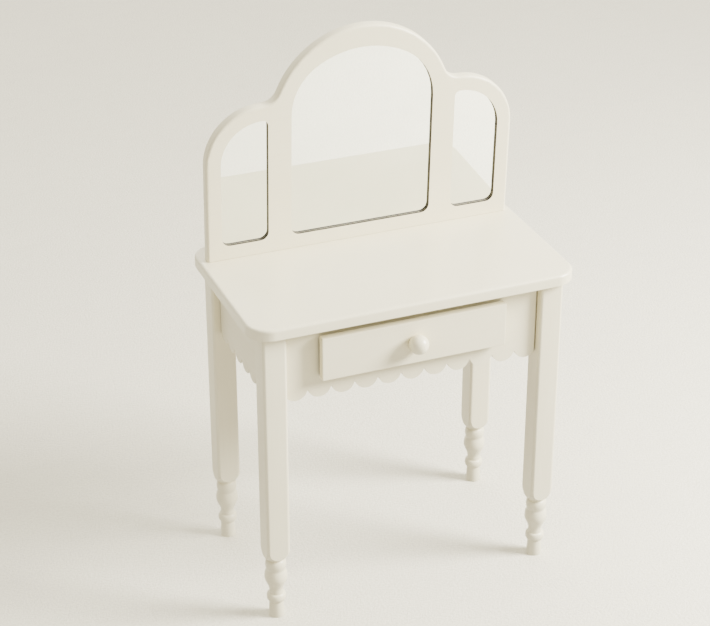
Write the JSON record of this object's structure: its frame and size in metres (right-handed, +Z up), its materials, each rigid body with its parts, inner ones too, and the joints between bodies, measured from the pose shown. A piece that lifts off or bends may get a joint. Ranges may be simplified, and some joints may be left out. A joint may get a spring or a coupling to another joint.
{
  "type": "miniature dressing table",
  "caption": "Doll-size dressing table with turned legs, scalloped aprons, a sliding drawer with a ball knob, and an upright arched triple mirror.",
  "frame": {"origin": "middle of the bounding box at rest, at floor level: midway between the knob's front and the back edge of the top", "axes": "+Z up, -Y towards the front with the drawer, +X to the right of someone facing the front"},
  "size_m": [0.356, 0.2152, 0.5952],
  "materials": {
    "cream_paint": "satin cream paint with faint brush marks",
    "bare_wood": "unpainted pale wood",
    "hardboard": "plain brown hardboard",
    "mirror_glass": "silvered, polished",
    "screw_steel": "plain steel"
  },
  "bodies": {
    "table": {"back_apron": "cream_paint", "back_panel_screw_left_1": "screw_steel", "back_panel_screw_left_2": "screw_steel", "back_panel_screw_left_3": "screw_steel", "back_panel_screw_right_1": "screw_steel", "back_panel_screw_right_2": "screw_steel", "back_panel_screw_right_3": "screw_steel", "center_mirror": "mirror_glass", "corner_block_back_left": "bare_wood", "corner_block_back_right": "bare_wood", "corner_block_front_left": "bare_wood", "corner_block_front_right": "bare_wood", "front_apron": "cream_paint", "left_apron": "cream_paint", "left_mirror": "mirror_glass", "left_runner": "bare_wood", "leg_back_left": "cream_paint", "leg_back_right": "cream_paint", "leg_front_left": "cream_paint", "leg_front_right": "cream_paint", "leg_screw_back_left": "screw_steel", "leg_screw_back_right": "screw_steel", "leg_screw_front_left": "screw_steel", "leg_screw_front_right": "screw_steel", "mirror_back_panel": "hardboard", "mirror_board_screw_left": "screw_steel", "mirror_board_screw_middle": "screw_steel", "mirror_board_screw_right": "screw_steel", "mirror_frame": "cream_paint", "right_apron": "cream_paint", "right_mirror": "mirror_glass", "right_runner": "bare_wood", "table_top": "cream_paint", "top_screw_back_left": "screw_steel", "top_screw_back_right": "screw_steel", "top_screw_front_left": "screw_steel", "top_screw_front_right": "screw_steel"},
    "drawer": {"drawer_front": "cream_paint", "drawer_left_side": "cream_paint", "drawer_right_side": "cream_paint", "drawer_back": "bare_wood", "drawer_bottom": "hardboard", "drawer_knob": "cream_paint", "knob_screw": "screw_steel"}
  },
  "joints": [
    {"name": "drawer_slide", "type": "slide", "parent": "table", "child": "drawer", "axis": [0, -1, 0], "range_m": [-0.0027, 0.1]}
  ]
}
